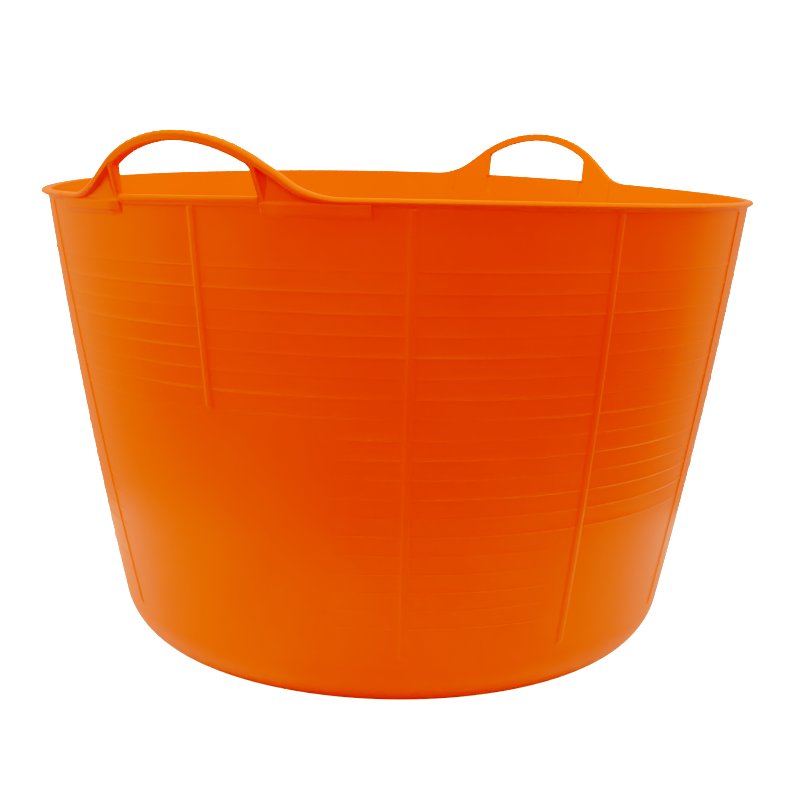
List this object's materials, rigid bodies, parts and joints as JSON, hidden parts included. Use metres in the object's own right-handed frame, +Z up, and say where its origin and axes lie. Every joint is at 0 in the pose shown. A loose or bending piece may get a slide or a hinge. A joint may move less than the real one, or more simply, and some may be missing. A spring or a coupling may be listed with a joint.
{
  "type": "mortar mixing tub",
  "caption": "Flexible round mixing tub with tapered ribbed walls, an outturned rim lip and moulded loop handles that bend.",
  "frame": {"origin": "centre of the base, on the ground", "axes": "+Z up along the tub's axis; +Y from the front handle towards the rear handle; +X to the right of the front handle"},
  "size_m": [0.56, 0.5742, 0.406],
  "materials": {
    "wall": "semi-gloss moulded polythene",
    "base": "semi-gloss moulded polythene",
    "rim": "semi-gloss moulded polythene",
    "handle": "semi-gloss moulded polythene"
  },
  "bodies": {
    "tub": {"base_corner": "base", "floor_disc": "base", "front_left_root": "handle", "front_left_skirt": "rim", "front_right_root": "handle", "front_right_skirt": "rim", "rear_left_root": "handle", "rear_left_skirt": "rim", "rear_right_root": "handle", "rear_right_skirt": "rim", "rim_lip": "rim", "side_wall": "wall", "wall_rib_01": "wall", "wall_rib_02": "wall", "wall_rib_03": "wall", "wall_rib_04": "wall", "wall_rib_05": "wall", "wall_rib_06": "wall", "wall_rib_07": "wall", "wall_rib_08": "wall", "wall_rib_09": "wall", "wall_rib_10": "wall", "wall_rib_11": "wall", "wall_rib_12": "wall"},
    "front_handle": {"front_handle_grip": "handle"},
    "rear_handle": {"rear_handle_grip": "handle"}
  },
  "joints": [
    {"name": "front_handle_flex", "type": "hinge", "parent": "tub", "child": "front_handle", "pos_m": [0, -0.27291, 0.3795], "axis": [1, 0, 0], "range_deg": [-35, 20], "stiffness_Nm_per_rad": 0.6},
    {"name": "rear_handle_flex", "type": "hinge", "parent": "tub", "child": "rear_handle", "pos_m": [0, 0.27291, 0.3795], "axis": [-1, 0, 0], "range_deg": [-35, 20], "stiffness_Nm_per_rad": 0.6}
  ]
}
